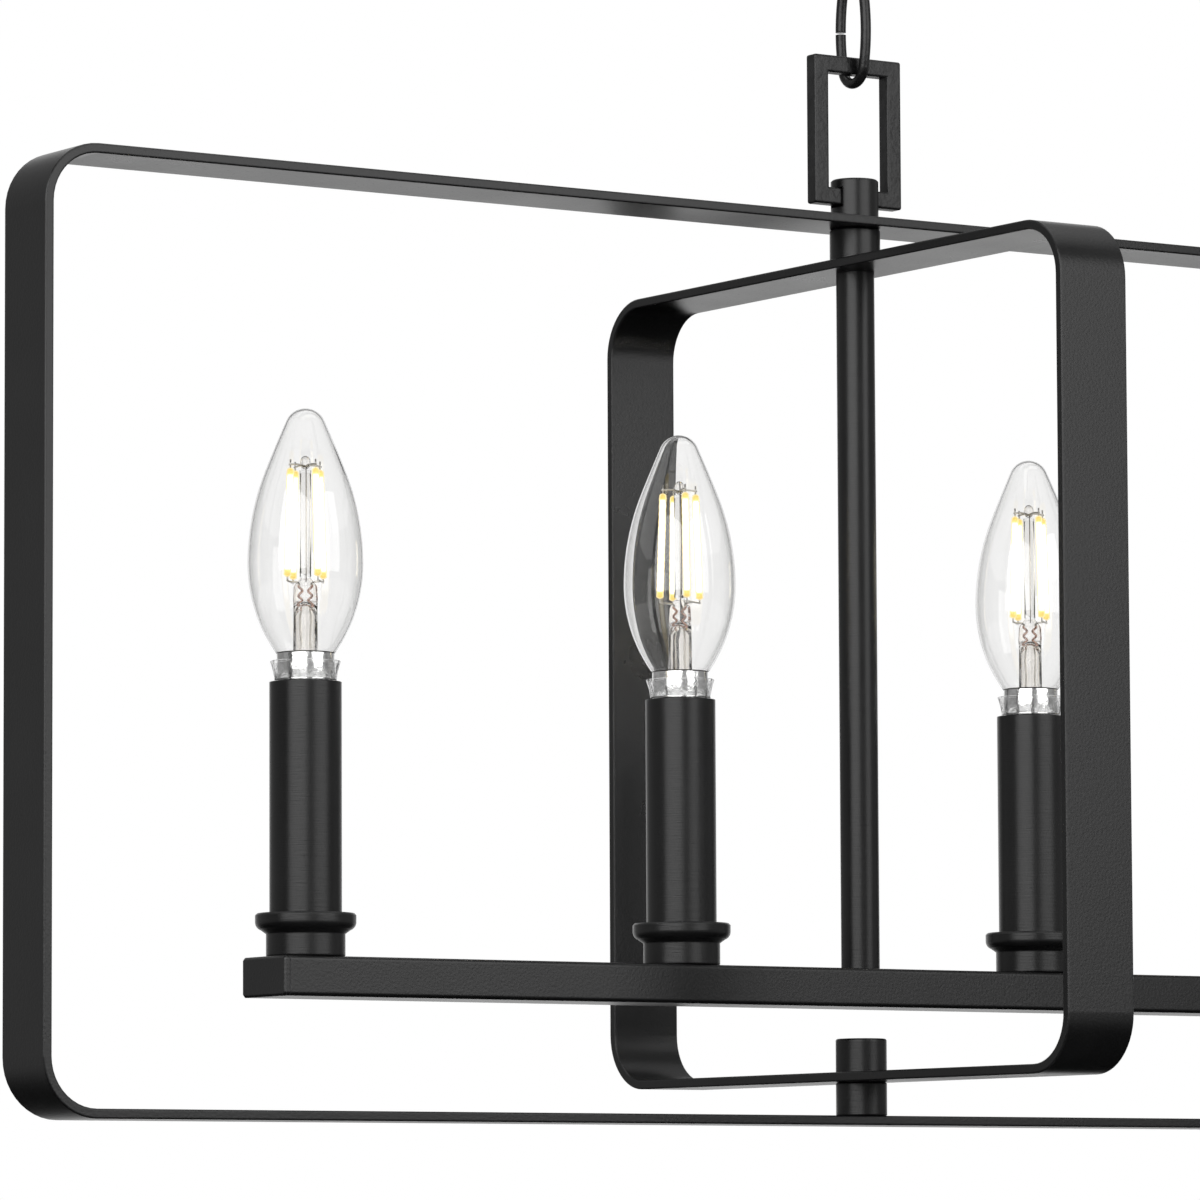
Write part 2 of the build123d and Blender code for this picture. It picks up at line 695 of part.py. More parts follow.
def bulb_glass(x):
    """A blown torpedo envelope of even wall, with the clear flared ring round its base."""
    belly = (bulb_belly_r, sleeve_top + bulb_belly_z)
    shoulder = (bulb_shoulder_r, sleeve_top + bulb_shoulder_z)
    crown = (bulb_crown_r, sleeve_top + bulb_crown_z)
    neck = (bulb_neck_r, sleeve_top + bulb_neck_z)
    tip = (0, sleeve_top + bulb_tip)
    with BuildPart() as glass:
        with BuildSketch(upright(x)):
            with BuildLine():
                dome = TangentArc(tip, crown, tangent=(1, 0))
                TangentArc(crown, shoulder, tangent=dome % 1)
                upper = TangentArc(belly, shoulder, tangent=(0, 1))
                lower = TangentArc(belly, neck, tangent=(0, -1))
                Line(tip, inset(dome, 0, -90))
                TangentArc(inset(dome, 0, -90), inset(dome, 1, -90), tangent=(1, 0))
                TangentArc(inset(dome, 1, -90), inset(upper, 1, 90), tangent=dome % 1)
                TangentArc(inset(upper, 0, 90), inset(upper, 1, 90), tangent=(0, 1))
                TangentArc(inset(lower, 0, -90), inset(lower, 1, -90), tangent=(0, -1))
                ledge_z = inset(lower, 1, -90).Y
                Polyline(
                    inset(lower, 1, -90),
                    (neck_r - glass_wall, ledge_z),
                    (neck_r - glass_wall, sleeve_top + base_floor),
                    (neck_r, sleeve_top + base_floor),
                    (neck_r, sleeve_top + bulb_neck_z),
                    neck,
                )
            make_face()
        revolve(axis=axis_at(x))
        ring_r = base_skirt_r + glass_fit
        with BuildSketch(upright(x)):
            with BuildLine():
                Polyline(
                    (ring_r, sleeve_top + ring_foot),
                    (ring_lip_r - ring_wall, sleeve_top + ring_lip_z),
                    (ring_lip_r, sleeve_top + ring_lip_z),
                    (ring_r + ring_wall, sleeve_top + ring_foot),
                    close=True,
                )
            make_face()
        revolve(axis=axis_at(x))
    return glass.part


def bulb_base(x):
    """Skirt, screw shell and centre contact in one turned piece."""
    skirt_inside_r = base_skirt_r - base_skirt_wall
    with BuildPart() as base:
        with BuildSketch(upright(x)):
            with BuildLine():
                Polyline(
                    (0, sleeve_top + base_contact_foot),
                    (base_contact_r, sleeve_top + base_contact_foot),
                    (base_shell_r, sleeve_top + base_shell_foot + base_shell_cone),
                    (base_shell_r, sleeve_top + base_shell_top),
                    (base_skirt_r, sleeve_top + base_skirt_foot),
                    (base_skirt_r, sleeve_top + base_skirt_top),
                    (skirt_inside_r, sleeve_top + base_skirt_top),
                    (skirt_inside_r, sleeve_top + base_floor),
                    (0, sleeve_top + base_floor),
                    close=True,
                )
            make_face()
        revolve(axis=axis_at(x))
    return base.part


def bulb_mount(x):
    """The glass stem inside the bulb: flared foot, press, rod and bead."""
    press_top = sleeve_top + mount_press_z
    bead = sleeve_top + mount_bead_z
    with BuildPart() as mount:
        with BuildSketch(upright(x)):
            with BuildLine():
                Polyline(
                    (0, sleeve_top + base_floor),
                    (mount_foot_r, sleeve_top + base_floor),
                    (mount_press_r, press_top),
                    (mount_rod_r, press_top + mount_press_r),
                    (mount_rod_r, bead - mount_bead_r),
                    (mount_bead_r, bead),
                    (0, bead + mount_bead_r),
                    close=True,
                )
            make_face()
        revolve(axis=axis_at(x))
    return mount.part


def bulb_filaments(x):
    """Four filament rods that stand a little apart at the foot, held by a wire cross at each end."""
    low = sleeve_top + filament_low_z
    high = sleeve_top + filament_high_z
    with BuildPart() as rods:
        for across, along in ((-1, -1), (-1, 1), (1, -1), (1, 1)):
            foot = Vector(x + across * filament_low_spread / 2, along * filament_low_spread / 2, low)
            head = Vector(x + across * filament_high_spread / 2, along * filament_high_spread / 2, high)
            with BuildSketch(Plane(origin=foot, z_dir=head - foot)):
                Rectangle(filament_width, filament_width)
            extrude(amount=(head - foot).length)
        for level, spread in ((low, filament_low_spread), (high, filament_high_spread)):
            with BuildSketch(Plane.XY.offset(level - spider_wire / 2)):
                with Locations((x, 0)):
                    Rectangle(spread * sqrt(2), spider_wire, rotation=45)
                    Rectangle(spread * sqrt(2), spider_wire, rotation=-45)
                    Rectangle(spider_hub, spider_hub)
                    Circle(mount_rod_r + glass_fit, mode=Mode.SUBTRACT)
            extrude(amount=spider_wire)
    return rods.part


for number, x in enumerate(light_places, start=1):
    keep(bulb_glass(x), f"bulb_glass_{number}")
    keep(bulb_base(x), f"bulb_base_{number}")
    keep(bulb_mount(x), f"bulb_mount_{number}")
    keep(bulb_filaments(x), f"bulb_filaments_{number}")

print("levels:", f"loop top {loop_top:.2f}, long frame {long_frame_top:.2f} to {long_frame_foot:.2f}",
      f"cross frame {cross_frame_top:.2f} to {cross_frame_foot:.2f}, bar top {bar_top:.2f}",
      f"sleeve top {sleeve_top:.2f}, links from {first_link_z:.2f} by {link_pitch:.2f}")
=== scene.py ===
import json
import math

import bmesh
import bpy
import numpy as np
from mathutils import Matrix, Vector


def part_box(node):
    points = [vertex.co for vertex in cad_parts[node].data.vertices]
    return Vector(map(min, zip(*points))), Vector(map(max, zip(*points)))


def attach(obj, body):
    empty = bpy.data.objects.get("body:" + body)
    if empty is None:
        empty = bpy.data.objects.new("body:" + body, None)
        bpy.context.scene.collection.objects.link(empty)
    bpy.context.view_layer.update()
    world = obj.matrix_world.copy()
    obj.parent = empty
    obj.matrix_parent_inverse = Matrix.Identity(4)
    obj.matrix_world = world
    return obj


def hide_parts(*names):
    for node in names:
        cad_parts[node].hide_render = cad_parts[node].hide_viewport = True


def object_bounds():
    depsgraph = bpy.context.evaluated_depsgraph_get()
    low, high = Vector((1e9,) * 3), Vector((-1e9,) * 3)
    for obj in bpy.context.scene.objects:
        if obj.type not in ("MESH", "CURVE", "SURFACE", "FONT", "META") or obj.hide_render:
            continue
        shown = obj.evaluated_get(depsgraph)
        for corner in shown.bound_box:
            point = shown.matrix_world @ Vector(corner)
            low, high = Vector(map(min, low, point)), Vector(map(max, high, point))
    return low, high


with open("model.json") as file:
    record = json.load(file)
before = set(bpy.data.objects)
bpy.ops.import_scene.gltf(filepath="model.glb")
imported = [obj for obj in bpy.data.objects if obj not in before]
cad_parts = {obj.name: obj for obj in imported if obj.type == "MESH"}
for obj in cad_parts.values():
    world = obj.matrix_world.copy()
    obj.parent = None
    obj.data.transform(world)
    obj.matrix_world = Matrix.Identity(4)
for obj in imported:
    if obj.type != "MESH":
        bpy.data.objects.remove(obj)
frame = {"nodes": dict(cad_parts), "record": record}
cadBox = [list(corner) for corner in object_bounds()]
nodes = frame["nodes"]
scene = bpy.context.scene
scene.view_settings.view_transform = "Standard"
print("frame loaded:", len(nodes), "nodes")

# The place and turn from which the frames, the bar and the candles stand as in the photographed view.
cameraPlan = {
    "place": (-1.34505, -1.87309, -0.55510),
    "yaw": 33.613,  # degrees from +Y towards +X
    "pitch": 5.273,  # degrees above the horizon
    "roll": -0.258,
    "focal": 214.898,  # mm
    "sensor": 36,  # mm
    "clip": (0.05, 60),
}


def makeCamera(plan):
    yaw, pitch, roll = (math.radians(plan[key]) for key in ("yaw", "pitch", "roll"))
    ahead = Vector((math.sin(yaw) * math.cos(pitch), math.cos(yaw) * math.cos(pitch), math.sin(pitch)))
    right = Vector((math.cos(yaw), -math.sin(yaw), 0))
    up = right.cross(ahead)
    tiltedRight = math.cos(roll) * right + math.sin(roll) * up
    tiltedUp = -math.sin(roll) * right + math.cos(roll) * up
    data = bpy.data.cameras.new("camera")
    data.sensor_width = plan["sensor"]
    data.lens = plan["focal"]
    data.clip_start, data.clip_end = plan["clip"]
    camera = bpy.data.objects.new("camera", data)
    turn = Matrix((tiltedRight, tiltedUp, -ahead)).transposed().to_4x4()
    camera.matrix_world = Matrix.Translation(plan["place"]) @ turn
    scene.collection.objects.link(camera)
    scene.camera = camera
    return ahead, right


ahead, right = makeCamera(cameraPlan)
print("camera made")


def newTree(name):
    material = bpy.data.materials.new(name)
    material.use_nodes = True
    tree = material.node_tree
    tree.nodes.clear()
    out = tree.nodes.new("ShaderNodeOutputMaterial")
    out.location = (600, 0)
    shader = tree.nodes.new("ShaderNodeBsdfPrincipled")
    shader.location = (300, 0)
    tree.links.new(shader.outputs[0], out.inputs["Surface"])
    return material, tree, shader, out


def addNode(tree, kind, x=0, y=0, **values):
    node = tree.nodes.new(kind)
    node.location = (x, y)
    for key, value in values.items():
        setattr(node, key, value)
    return node


def feed(tree, given, socket):
    # A fixed value stands on the socket itself, and another node's output is linked to it.
    if isinstance(given, bpy.types.NodeSocket):
        tree.links.new(given, socket)
    else:
        socket.default_value = given


def calc(tree, place, operation, *values, clamp=False):
    node = addNode(tree, "ShaderNodeMath", *place, operation=operation, use_clamp=clamp)
    for given, socket in zip(values, node.inputs):
        feed(tree, given, socket)
    return node.outputs[0]


def mapRange(tree, place, value, span, to=(0.0, 1.0), smooth=False):
    # The value's run over the span, turned into a run over the second pair.
    kind = "SMOOTHSTEP" if smooth else "LINEAR"
    node = addNode(tree, "ShaderNodeMapRange", *place, interpolation_type=kind)
    labels = ("Value", "From Min", "From Max", "To Min", "To Max")
    for given, label in zip((value, *span, *to), labels):
        feed(tree, given, node.inputs[label])
    return node.outputs[0]


def mixColor(tree, place, factor, first, second):
    node = addNode(tree, "ShaderNodeMix", *place, data_type="RGBA")
    colorA, colorB, result = node.inputs[6], node.inputs[7], node.outputs[2]
    for given, socket in ((factor, node.inputs["Factor"]), (first, colorA), (second, colorB)):
        feed(tree, given, socket)
    return result


def mixShader(tree, place, factor, first, second):
    node = addNode(tree, "ShaderNodeMixShader", *place)
    for given, socket in zip((factor, first, second), node.inputs):
        feed(tree, given, socket)
    return node.outputs[0]


def noise(tree, place, where, scale, detail=2):
    node = addNode(tree, "ShaderNodeTexNoise", *place)
    for given, label in ((where, "Vector"), (scale, "Scale"), (detail, "Detail")):
        feed(tree, given, node.inputs[label])
    return node.outputs["Fac"]


def newGroup(name, inputs, outputs):
    group = bpy.data.node_groups.new(name, "ShaderNodeTree")
    for label, kind, value in inputs:
        made = group.interface.new_socket(label, in_out="INPUT", socket_type="NodeSocket" + kind)
        made.default_value = value
    for label, kind in outputs:
        group.interface.new_socket(label, in_out="OUTPUT", socket_type="NodeSocket" + kind)
    given = addNode(group, "NodeGroupInput", -1200, 0)
    result = addNode(group, "NodeGroupOutput", 600, 0)
    return group, given, result


coatPlan = {
    "grainDetail": 3, "cloudDetail": 5, "cloudSpan": (0.42, 0.72),
    "speckScale": 420, "speckSpan": (0.16, 0.04), "speckDust": 0.35, "speckRoughness": 0.12,
}


def makeCoatGroup(plan):
    # Slow clouds and dust specks shift the tone and the roughness, and fine grain gives the height.
    inputs = (
        ("Color", "Color", (0.02, 0.02, 0.02, 1)), ("Dust Color", "Color", (0.05, 0.05, 0.05, 1)),
        ("Dust", "Float", 0.2), ("Grain Stretch", "Vector", (1, 1, 1)), ("Grain Scale", "Float", 900.0),
        ("Grain", "Float", 0.5), ("Cloud Scale", "Float", 25.0), ("Roughness", "Float", 0.4),
        ("Roughness Spread", "Float", 0.1),
    )
    outputs = (("Color", "Color"), ("Roughness", "Float"), ("Height", "Float"))
    group, given, result = newGroup("coatSurface", inputs, outputs)
    where = addNode(group, "ShaderNodeTexCoord", -1200, 300).outputs["Object"]
    stretched = addNode(group, "ShaderNodeVectorMath", -1000, 400, operation="MULTIPLY")
    feed(group, where, stretched.inputs[0])
    feed(group, given.outputs["Grain Stretch"], stretched.inputs[1])
    grain = noise(group, (-800, 300), stretched.outputs[0], given.outputs["Grain Scale"], plan["grainDetail"])
    cloud = noise(group, (-800, 0), where, given.outputs["Cloud Scale"], plan["cloudDetail"])
    speck = addNode(group, "ShaderNodeTexVoronoi", -800, -300)
    feed(group, plan["speckScale"], speck.inputs["Scale"])
    feed(group, where, speck.inputs["Vector"])
    speckMask = mapRange(group, (-550, -300), speck.outputs["Distance"], plan["speckSpan"])
    cloudMask = mapRange(group, (-550, 0), cloud, plan["cloudSpan"])
    dust = calc(group, (-300, -150), "MULTIPLY_ADD", speckMask, plan["speckDust"], cloudMask)
    dustPart = calc(group, (-120, -150), "MULTIPLY", dust, given.outputs["Dust"], clamp=True)
    tone = mixColor(group, (100, 200), dustPart, given.outputs["Color"], given.outputs["Dust Color"])
    spread = calc(group, (-300, 100), "MULTIPLY_ADD", cloud, given.outputs["Roughness Spread"],
                  given.outputs["Roughness"])
    rough = calc(group, (0, 50), "MULTIPLY_ADD", speckMask, plan["speckRoughness"], spread, clamp=True)
    height = calc(group, (-300, 300), "MULTIPLY", grain, given.outputs["Grain"])
    for made, label in ((tone, "Color"), (rough, "Roughness"), (height, "Height")):
        feed(group, made, result.inputs[label])
    return group


edgePlan = {
    "radius": 0.0006, "samples": 6, "leanSpan": (0.995, 0.8), "breakupScale": 200.0, "breakupDetail": 4,
    "breakupSpan": (0.35, 0.6), "leastWearAndSheen": 0.35,
}


def makeEdgeGroup(plan):
    # The normal rounded over a small radius, and how far it leans off the true one as the mask of the edges,
    # which get a painted highlight and wear.
    inputs = (("Breakup Scale", "Float", plan["breakupScale"]),)
    outputs = (("Normal", "Vector"), ("Edge", "Float"))
    group, given, result = newGroup("edgeSurface", inputs, outputs)
    rounded = addNode(group, "ShaderNodeBevel", -600, 0, samples=plan["samples"])
    feed(group, plan["radius"], rounded.inputs["Radius"])
    true = addNode(group, "ShaderNodeNewGeometry", -600, -250)
    same = addNode(group, "ShaderNodeVectorMath", -350, -100, operation="DOT_PRODUCT")
    feed(group, rounded.outputs[0], same.inputs[0])
    feed(group, true.outputs["Normal"], same.inputs[1])
    mask = mapRange(group, (-150, -100), same.outputs["Value"], plan["leanSpan"])
    where = addNode(group, "ShaderNodeTexCoord", -900, 300).outputs["Object"]
    patch = noise(group, (-600, 300), where, given.outputs["Breakup Scale"], plan["breakupDetail"])
    broken = mapRange(group, (-350, 300), patch, plan["breakupSpan"], (plan["leastWearAndSheen"], 1.0))
    edge = calc(group, (150, 0), "MULTIPLY", mask, broken, clamp=True)
    feed(group, edge, result.inputs["Edge"])
    feed(group, rounded.outputs[0], result.inputs["Normal"])
    return group


coatGroup = makeCoatGroup(coatPlan)
edgeGroup = makeEdgeGroup(edgePlan)


def coatedMaterial(name, look):
    material, tree, shader, _ = newTree(name)
    coat = addNode(tree, "ShaderNodeGroup", -200, 0, node_tree=coatGroup)
    for key in ("Color", "Dust Color"):
        feed(tree, (*look[key], 1), coat.inputs[key])
    for key in ("Dust", "Grain Scale", "Grain", "Cloud Scale", "Roughness", "Roughness Spread"):
        feed(tree, look[key], coat.inputs[key])
    feed(tree, look.get("Grain Stretch", (1, 1, 1)), coat.inputs["Grain Stretch"])
    bump = addNode(tree, "ShaderNodeBump", 50, -200)
    feed(tree, look["bump"], bump.inputs["Strength"])
    feed(tree, look["bumpDepth"], bump.inputs["Distance"])
    tone = coat.outputs["Color"]
    # The edges take a lighter colour: a painted highlight along each rounded edge, and partly wear as well.
    if "Edge Wear And Sheen Color" in look:
        edge = addNode(tree, "ShaderNodeGroup", -200, -350, node_tree=edgeGroup)
        tone = mixColor(tree, (50, 200), edge.outputs["Edge"], tone, (*look["Edge Wear And Sheen Color"], 1))
        feed(tree, edge.outputs["Normal"], bump.inputs["Normal"])
    feed(tree, tone, shader.inputs["Base Color"])
    feed(tree, coat.outputs["Roughness"], shader.inputs["Roughness"])
    feed(tree, coat.outputs["Height"], bump.inputs["Height"])
    feed(tree, bump.outputs[0], shader.inputs["Normal"])
    feed(tree, look.get("metallic", 0.0), shader.inputs["Metallic"])
    return material


satinBlack = {
    "Color": (0.0026, 0.0026, 0.0027), "Dust Color": (0.008, 0.008, 0.0083), "Dust": 0.3,
    # a lighter colour on the edges: a painted edge highlight, and wear
    "Edge Wear And Sheen Color": (0.022, 0.022, 0.023),
    "Grain Scale": 1100.0, "Grain": 0.8, "Cloud Scale": 30.0, "Roughness": 0.25, "Roughness Spread": 0.07,
    "bump": 0.3, "bumpDepth": 0.0002,
}
frameBlack = coatedMaterial("frameBlack", satinBlack)
# Turned pieces keep fine rings from the lathe under the paint, so their grain is drawn out round the axis.
sleeveBlack = coatedMaterial("sleeveBlack", {
    **satinBlack, "Roughness": 0.29, "Grain Stretch": (0.06, 0.06, 1), "Grain Scale": 2600.0, "Grain": 0.9,
    "Cloud Scale": 45.0, "bump": 0.24,
})
castBlack = coatedMaterial("castBlack", {
    **satinBlack, "Roughness": 0.31, "Grain Scale": 640.0, "Grain": 1.0, "Cloud Scale": 160.0, "Dust": 0.7,
    # a still lighter colour on the edges: a stronger painted edge highlight, and wear
    "Dust Color": (0.014, 0.014, 0.0145), "Edge Wear And Sheen Color": (0.05, 0.05, 0.052), "bump": 0.5, "bumpDepth": 0.0003,
})
linkBlack = coatedMaterial("linkBlack", {
    **satinBlack, "Roughness": 0.28, "Grain Scale": 900.0, "Grain": 1.0, "Cloud Scale": 220.0, "Dust": 0.7,
    "bump": 0.45, "bumpDepth": 0.00025,
})
zincSteel = coatedMaterial("zincSteel", {
    "Color": (0.55, 0.55, 0.53), "Dust Color": (0.36, 0.35, 0.32), "Dust": 0.6,
    "Grain Scale": 1100.0, "Grain": 0.6, "Cloud Scale": 140.0, "Roughness": 0.3, "Roughness Spread": 0.2,
    "bump": 0.15, "bumpDepth": 0.0002, "metallic": 1.0,
})
brassMetal = coatedMaterial("brassMetal", {
    "Color": (0.72, 0.5, 0.22), "Dust Color": (0.4, 0.26, 0.12), "Dust": 0.5,
    "Grain Scale": 900.0, "Grain": 0.5, "Cloud Scale": 160.0, "Roughness": 0.25, "Roughness Spread": 0.2,
    "bump": 0.1, "bumpDepth": 0.0002, "metallic": 1.0,
})
socketMoulding = coatedMaterial("socketMoulding", {
    "Color": (0.03, 0.024, 0.02), "Dust Color": (0.08, 0.07, 0.06), "Dust": 0.4,
    "Grain Scale": 700.0, "Grain": 0.8, "Cloud Scale": 80.0, "Roughness": 0.5, "Roughness Spread": 0.15,
    "bump": 0.2, "bumpDepth": 0.0003,
})
groundGreen = coatedMaterial("groundGreen", {
    "Color": (0.02, 0.17, 0.05), "Dust Color": (0.08, 0.2, 0.1), "Dust": 0.4,
    "Grain Scale": 900.0, "Grain": 0.6, "Cloud Scale": 120.0, "Roughness": 0.35, "Roughness Spread": 0.15,
    "bump": 0.15, "bumpDepth": 0.0002,
})
cableBlack = coatedMaterial("cableBlack", {
    "Color": (0.02, 0.02, 0.02), "Dust Color": (0.05, 0.05, 0.05), "Dust": 0.3,
    "Grain Scale": 1500.0, "Grain": 0.6, "Cloud Scale": 100.0, "Roughness": 0.5, "Roughness Spread": 0.1,
    "bump": 0.1, "bumpDepth": 0.0002,
})
basePolish = coatedMaterial("basePolish", {
    "Color": (0.95, 0.95, 0.945), "Dust Color": (0.5, 0.5, 0.49), "Dust": 0.6,
    "Grain Scale": 760.0, "Grain": 1.0, "Cloud Scale": 420.0, "Roughness": 0.1, "Roughness Spread": 0.14,
    "bump": 0.22, "bumpDepth": 0.0004, "metallic": 1.0,
})
drawnWire = {
    "Dust": 0.4, "Grain Scale": 2000.0, "Grain": 0.4, "Cloud Scale": 300.0, "Roughness": 0.25,
    "Roughness Spread": 0.15, "bump": 0.05, "bumpDepth": 0.0001, "metallic": 1.0,
}
leadWire = coatedMaterial("leadWire", {
    **drawnWire, "Color": (0.74, 0.5, 0.42), "Dust Color": (0.5, 0.3, 0.24),
})
nickelWire = coatedMaterial("nickelWire", {
    **drawnWire, "Color": (0.6, 0.58, 0.54), "Dust Color": (0.35, 0.33, 0.3),
})
print("coat materials made")

clearGlass = {
    "tint": (0.972, 0.971, 0.968), "bend": 1.47, "ripple": 0.03, "rippleScale": 60, "rippleDepth": 0.0006,
    "smearScale": 240, "smearSpan": (0.5, 0.8), "smearRoughness": (0.0, 0.012),
    "rim": 6.0,  # a higher power gives a thinner painted shade as a dark outline, and 0 gives none
    # the colour of the painted rim shade
    "rimTone": (0.0, 0.0, 0.0),
}


def glassMaterial(name, look):
    # Clear blown glass: ripples bend what is seen through it, faint smears dull it, and a painted shade
    # darkens its rim where it is seen edge-on.
    material, tree, shader, _ = newTree(name)
    where = addNode(tree, "ShaderNodeTexCoord", -800, 0).outputs["Object"]
    wave = noise(tree, (-600, -150), where, look["rippleScale"])
    bump = addNode(tree, "ShaderNodeBump", -200, -200)
    feed(tree, look["ripple"], bump.inputs["Strength"])
    feed(tree, look["rippleDepth"], bump.inputs["Distance"])
    feed(tree, wave, bump.inputs["Height"])
    feed(tree, bump.outputs[0], shader.inputs["Normal"])
    film = noise(tree, (-600, 150), where, look["smearScale"])
    smear = mapRange(tree, (-350, 150), film, look["smearSpan"], look["smearRoughness"])
    feed(tree, smear, shader.inputs["Roughness"])
    tone = (*look["tint"], 1)
    # Painted shade: where the glass is seen edge-on, the colour goes to the rim tone and draws a dark outline.
    if look["rim"]:
        facing = addNode(tree, "ShaderNodeLayerWeight", -600, 400)
        feed(tree, 0.5, facing.inputs["Blend"])
        paintedRimShade = calc(tree, (-400, 400), "POWER", facing.outputs["Facing"], look["rim"])
        tone = mixColor(tree, (-100, 400), paintedRimShade, tone, (*look["rimTone"], 1))
    feed(tree, tone, shader.inputs["Base Color"])
    feed(tree, 1.0, shader.inputs["Transmission Weight"])
    feed(tree, look["bend"], shader.inputs["IOR"])
    return material


bulbClear = glassMaterial("bulbClear", clearGlass)
# the ring's rim gets the painted shade too, a little wider
ringClear = glassMaterial("ringClear", {
    **clearGlass, "tint": (0.965, 0.965, 0.965), "bend": 1.45, "ripple": 0.45, "rippleScale": 340, "rim": 5.0,
})
mountClear = glassMaterial("mountClear", {
    **clearGlass, "tint": (0.935, 0.92, 0.9), "ripple": 0.6, "rippleScale": 110, "rim": 0,
})
rodClear = glassMaterial("rodClear", {
    **clearGlass, "tint": (0.97, 0.965, 0.955), "bend": 1.08, "ripple": 0.1, "rim": 0,
})

glowPlan = {
    "ends": (0.24, 0.16, 0.03, 1), "amber": (0.3, 0.235, 0.06, 1), "hot": (1.0, 0.93, 0.75, 1),
    "stops": ((0.07, "amber"), (0.105, "hot"), (0.895, "hot"), (0.93, "amber")),
    "power": 3.0, "coating": (0.3, 0.24, 0.09, 1), "coatingRoughness": 0.5,
    "rimTone": (0.33, 0.27, 0.15, 1), "warmSpan": (0.12, 0.4), "thinSpan": (0.3, 0.85),
}


def filamentMaterial(name, look):
    # White-hot over the length and yellow towards both ends, read from the "along" attribute. Towards its rim
    # a rod turns warm and then lets the light behind it through, so it has a soft outline.
    material, tree, shader, _ = newTree(name)
    along = addNode(tree, "ShaderNodeAttribute", -800, 0, attribute_name="along")
    ramp = addNode(tree, "ShaderNodeValToRGB", -500, 0)
    stops = ramp.color_ramp.elements
    stops[0].position, stops[0].color = 0.0, look["ends"]
    stops[1].position, stops[1].color = 1.0, look["ends"]
    for place, tone in look["stops"]:
        stops.new(place).color = look[tone]
    feed(tree, along.outputs["Fac"], ramp.inputs["Fac"])
    facing = addNode(tree, "ShaderNodeLayerWeight", -800, 400)
    feed(tree, 0.5, facing.inputs["Blend"])
    warm = mapRange(tree, (-500, 400), facing.outputs["Facing"], look["warmSpan"], smooth=True)
    thin = mapRange(tree, (-500, 650), facing.outputs["Facing"], look["thinSpan"], (1.0, 0.0), smooth=True)
    hue = mixColor(tree, (-200, 200), warm, ramp.outputs["Color"], look["rimTone"])
    feed(tree, hue, shader.inputs["Emission Color"])
    feed(tree, thin, shader.inputs["Alpha"])
    feed(tree, look["power"], shader.inputs["Emission Strength"])
    feed(tree, look["coating"], shader.inputs["Base Color"])
    feed(tree, look["coatingRoughness"], shader.inputs["Roughness"])
    return material


filamentGlow = filamentMaterial("filamentGlow", glowPlan)
print("glass and glow materials made")


def ringQuads(rows, columns, loop=False):
    # Quads from each ring of points to the next one; a loop also joins the last ring to the first.
    index = np.arange(rows * columns).reshape(rows, columns)
    index = np.concatenate((index, index[:, :1]), axis=1)
    if loop:
        index = np.concatenate((index, index[:1]), axis=0)
    return np.stack((index[:-1, :-1], index[:-1, 1:], index[1:, 1:], index[1:, :-1]), axis=-1).reshape(-1, 4)


def surface(rings, material, loop=False):
    # A skin over rings of points (ring by point by 3); its run is 0 at the first ring and 1 at the last.
    rows, columns = rings.shape[:2]
    return {
        "points": rings.reshape(-1, 3), "quads": ringQuads(rows, columns, loop),
        "run": np.repeat(np.linspace(0, 1, rows), columns), "material": material,
    }


def makePiece(name, skins, body, slotName, *replaced):
    # One object out of several skins, each with its own material; "along" keeps each skin's run.
    counts = [len(skin["points"]) for skin in skins]
    starts = np.concatenate(([0], np.cumsum(counts)[:-1]))
    verts = np.concatenate([skin["points"] for skin in skins])
    faces = np.concatenate([skin["quads"] + start for skin, start in zip(skins, starts)])
    materials = list(dict.fromkeys(skin["material"] for skin in skins))
    picks = np.concatenate([np.full(len(skin["quads"]), materials.index(skin["material"])) for skin in skins])
    mesh = bpy.data.meshes.new(name)
    mesh.from_pydata(verts.tolist(), [], faces.tolist())
    for material in materials:
        mesh.materials.append(material)
    mesh.polygons.foreach_set("material_index", picks.astype(np.int32))
    layer = mesh.attributes.new("along", "FLOAT", "POINT")
    layer.data.foreach_set("value", np.concatenate([skin["run"] for skin in skins]).astype(np.float32))
    work = bmesh.new()
    work.from_mesh(mesh)
    bmesh.ops.remove_doubles(work, verts=work.verts, dist=1e-7)
    bmesh.ops.recalc_face_normals(work, faces=work.faces)
    work.to_mesh(mesh)
    work.free()
    mesh.polygons.foreach_set("use_smooth", np.full(len(mesh.polygons), True))
    thing = bpy.data.objects.new(name, mesh)
    scene.collection.objects.link(thing)
    if replaced:
        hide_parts(*replaced)
    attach(thing, body)


def turned(profile, segments=96):
    # Surface of revolution: radius times cosine and sine round the upright axis, height from the profile.
    angle = np.linspace(0, 2 * np.pi, segments, endpoint=False)
    radius, height = profile[:, 0][:, None], profile[:, 1][:, None]
    return np.stack((radius * np.cos(angle), radius * np.sin(angle), height + 0 * angle), axis=-1)


def swung(arrow, turn):
    # A flat arrow turned by one angle, or by each of a row of angles.
    return np.stack((arrow[0] * np.cos(turn) - arrow[1] * np.sin(turn),
                     arrow[0] * np.sin(turn) + arrow[1] * np.cos(turn)), axis=-1)


def tangentArc(start, heading, end, count):
    # Points of the circle that leaves start along heading and passes through end, and its heading there.
    start, heading, end = (np.asarray(v, dtype=float) for v in (start, heading, end))
    heading = heading / np.linalg.norm(heading)
    chord = end - start
    side = np.array((-heading[1], heading[0]))
    centre = start + side * (chord @ chord) / (2 * (chord @ side))
    sweep = 2 * math.atan2(chord @ side, chord @ heading)
    return centre + swung(start - centre, np.linspace(0, sweep, count)), swung(heading, sweep)


